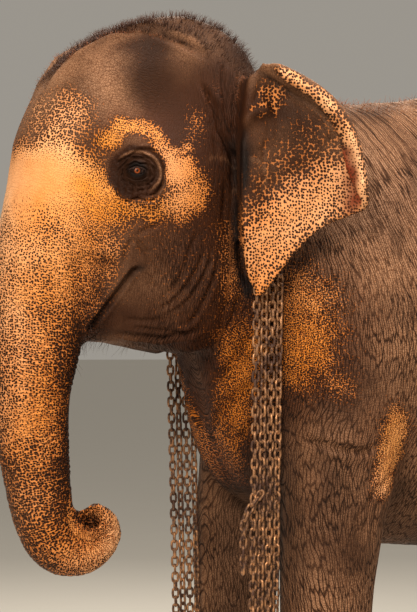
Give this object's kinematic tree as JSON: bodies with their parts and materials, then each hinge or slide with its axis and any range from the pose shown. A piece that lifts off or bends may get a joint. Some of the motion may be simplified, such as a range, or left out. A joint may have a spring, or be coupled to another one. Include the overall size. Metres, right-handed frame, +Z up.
{
  "type": "asian elephant",
  "caption": "Life-size still model of a standing adult Asian elephant, its trunk hanging with a curled tip and long steel chains laid over its neck.",
  "frame": {"origin": "middle of the animal's box, on the floor under its feet", "axes": "+X from head to tail, +Y towards its right side, +Z up"},
  "size_m": [2.9716, 1.267, 2.5687],
  "materials": {
    "hide": "dry wrinkled grey-brown elephant hide",
    "pale_hide": "peach hide without pigment, closely dotted dark brown",
    "eye": "wet amber-brown eyeball",
    "toenail": "worn horn",
    "bristle": "stiff dark hair",
    "chain": "rusty steel"
  },
  "bodies": {
    "root": {"head": "hide", "eye_left": "eye", "eye_right": "eye", "lower_jaw": "hide", "neck": "hide", "torso": "hide", "trunk_root": "pale_hide", "trunk_upper": "pale_hide", "trunk_lower": "pale_hide", "trunk_tip": "pale_hide", "ear_left": "pale_hide", "ear_right": "pale_hide", "foreleg_left": "hide", "forefoot_left_nail_1": "toenail", "forefoot_left_nail_2": "toenail", "forefoot_left_nail_3": "toenail", "forefoot_left_nail_4": "toenail", "forefoot_left_nail_5": "toenail", "forefoot_left": "hide", "foreleg_right": "hide", "forefoot_right_nail_1": "toenail", "forefoot_right_nail_2": "toenail", "forefoot_right_nail_3": "toenail", "forefoot_right_nail_4": "toenail", "forefoot_right_nail_5": "toenail", "forefoot_right": "hide", "hindleg_left": "hide", "hindfoot_left_nail_1": "toenail", "hindfoot_left_nail_2": "toenail", "hindfoot_left_nail_3": "toenail", "hindfoot_left_nail_4": "toenail", "hindfoot_left": "hide", "hindleg_right": "hide", "hindfoot_right_nail_1": "toenail", "hindfoot_right_nail_2": "toenail", "hindfoot_right_nail_3": "toenail", "hindfoot_right_nail_4": "toenail", "hindfoot_right": "hide", "tail": "hide", "tail_tuft": "bristle", "chain_over_1": "chain", "chain_over_2": "chain", "chain_over_3": "chain", "chain_over_4": "chain", "chain_left_1": "chain", "chain_left_2": "chain", "chain_right_1": "chain", "chain_right_2": "chain"}
  },
  "joints": []
}
